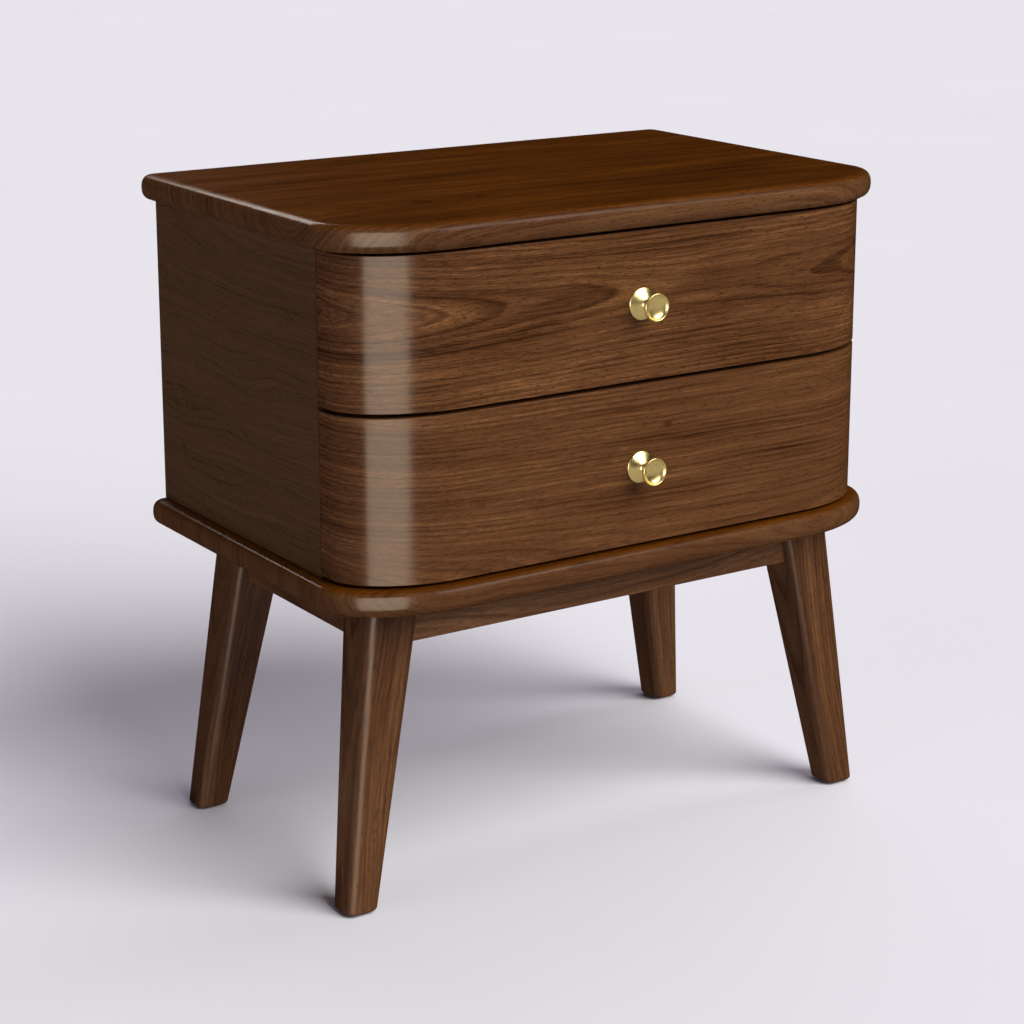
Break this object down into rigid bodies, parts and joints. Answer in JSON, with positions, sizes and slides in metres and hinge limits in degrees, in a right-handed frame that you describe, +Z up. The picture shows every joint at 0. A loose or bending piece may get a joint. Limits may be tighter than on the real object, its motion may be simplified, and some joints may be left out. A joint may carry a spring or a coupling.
{
  "type": "nightstand with drawers",
  "caption": "Mid-century nightstand: rounded-front wooden body with stacked drawers and turned knobs between two bullnose boards, on splayed tapered legs.",
  "frame": {"origin": "on the floor, in the middle of the bounding box, knobs included", "axes": "+Z up, -Y the front where the drawers open, +X to the right as seen from the front"},
  "size_m": [0.61, 0.419, 0.625],
  "materials": {
    "walnut": "dark walnut stain under satin lacquer",
    "birch": "clear matt lacquer on pale birch and poplar",
    "brass": "satin, turned and lacquered",
    "steel": "zinc plated",
    "nylon": "moulded, matt"
  },
  "bodies": {
    "cabinet": {"top_board": "walnut", "bottom_board": "walnut", "side_panel_left": "walnut", "side_panel_right": "walnut", "back_panel": "birch", "top_front_rail": "birch", "top_rear_rail": "birch", "middle_rail": "birch", "apron_front": "walnut", "apron_rear": "walnut", "apron_left": "walnut", "apron_right": "walnut", "leg_front_left": "walnut", "leg_front_right": "walnut", "leg_rear_left": "walnut", "leg_rear_right": "walnut", "foot_glide_front_left": "nylon", "foot_glide_front_right": "nylon", "foot_glide_rear_left": "nylon", "foot_glide_rear_right": "nylon", "corner_block_front_left": "birch", "corner_block_front_right": "birch", "corner_block_rear_left": "birch", "corner_block_rear_right": "birch", "hanger_bolt_front_left": "steel", "hanger_bolt_front_right": "steel", "hanger_bolt_rear_left": "steel", "hanger_bolt_rear_right": "steel", "upper_slide_cabinet_left": "steel", "upper_slide_cabinet_right": "steel", "lower_slide_cabinet_left": "steel", "lower_slide_cabinet_right": "steel"},
    "upper_drawer": {"upper_drawer_front": "walnut", "upper_drawer_batten": "birch", "upper_drawer_box_front": "birch", "upper_drawer_box_left": "birch", "upper_drawer_box_right": "birch", "upper_drawer_box_back": "birch", "upper_drawer_box_bottom": "birch", "upper_drawer_knob": "brass", "upper_drawer_knob_screw": "steel", "upper_slide_drawer_left": "steel", "upper_slide_drawer_right": "steel"},
    "lower_drawer": {"lower_drawer_front": "walnut", "lower_drawer_batten": "birch", "lower_drawer_box_front": "birch", "lower_drawer_box_left": "birch", "lower_drawer_box_right": "birch", "lower_drawer_box_back": "birch", "lower_drawer_box_bottom": "birch", "lower_drawer_knob": "brass", "lower_drawer_knob_screw": "steel", "lower_slide_drawer_left": "steel", "lower_slide_drawer_right": "steel"},
    "upper_slide_middle": {"upper_slide_middle_left": "steel", "upper_slide_middle_right": "steel"},
    "lower_slide_middle": {"lower_slide_middle_left": "steel", "lower_slide_middle_right": "steel"}
  },
  "joints": [
    {"name": "upper_drawer_slide", "type": "slide", "parent": "cabinet", "child": "upper_drawer", "axis": [0, -1, 0], "range_m": [0, 0.25]},
    {"name": "lower_drawer_slide", "type": "slide", "parent": "cabinet", "child": "lower_drawer", "axis": [0, -1, 0], "range_m": [0, 0.25]},
    {"name": "upper_slide_extension", "type": "slide", "parent": "cabinet", "child": "upper_slide_middle", "axis": [0, -1, 0], "range_m": [0, 0.125]},
    {"name": "lower_slide_extension", "type": "slide", "parent": "cabinet", "child": "lower_slide_middle", "axis": [0, -1, 0], "range_m": [0, 0.125]}
  ],
  "couplings": [
    {"joint": "upper_slide_extension", "follows": "upper_drawer_slide", "ratio": 0.5},
    {"joint": "lower_slide_extension", "follows": "lower_drawer_slide", "ratio": 0.5}
  ]
}
